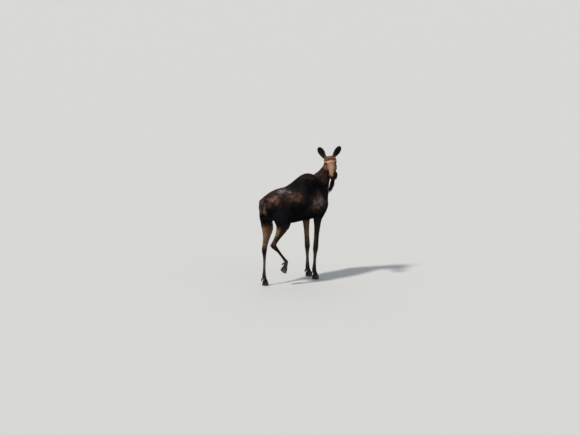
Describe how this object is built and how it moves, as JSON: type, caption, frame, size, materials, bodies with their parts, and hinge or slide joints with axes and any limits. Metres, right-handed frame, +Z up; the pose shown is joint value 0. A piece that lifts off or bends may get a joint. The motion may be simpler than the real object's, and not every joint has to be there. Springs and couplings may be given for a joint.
{
  "type": "cow moose",
  "caption": "Life-size standing cow moose, a hornless deer with a humped shoulder, long legs and a broad muzzle, head turned back and one hind foot lifted.",
  "frame": {"origin": "on the floor, under the middle of the bounding box", "axes": "+X forward along the spine from rump to breast, +Y the animal's left, +Z up"},
  "size_m": [1.7972, 0.9156, 2.2857],
  "materials": {
    "coat": "short matt hair, blackish brown with worn tan patches, grey-brown shanks and a red-brown face",
    "eye": "wet and glossy, near-black brown",
    "hoof": "dull blackish horn"
  },
  "bodies": {
    "root": {"head": "coat", "neck": "coat", "leg_hind_left": "coat", "leg_hind_right": "coat", "leg_front_left": "coat", "leg_front_right": "coat", "trunk": "coat", "eye_left": "eye", "ear_left": "coat", "eye_right": "eye", "ear_right": "coat", "bell": "coat", "tail": "coat", "hoof_hind_left_outer": "hoof", "dewclaw_hind_left_outer": "hoof", "hoof_hind_left_inner": "hoof", "dewclaw_hind_left_inner": "hoof", "hoof_hind_right_outer": "hoof", "dewclaw_hind_right_outer": "hoof", "hoof_hind_right_inner": "hoof", "dewclaw_hind_right_inner": "hoof", "hoof_front_left_outer": "hoof", "dewclaw_front_left_outer": "hoof", "hoof_front_left_inner": "hoof", "dewclaw_front_left_inner": "hoof", "hoof_front_right_outer": "hoof", "dewclaw_front_right_outer": "hoof", "hoof_front_right_inner": "hoof", "dewclaw_front_right_inner": "hoof"}
  },
  "joints": []
}
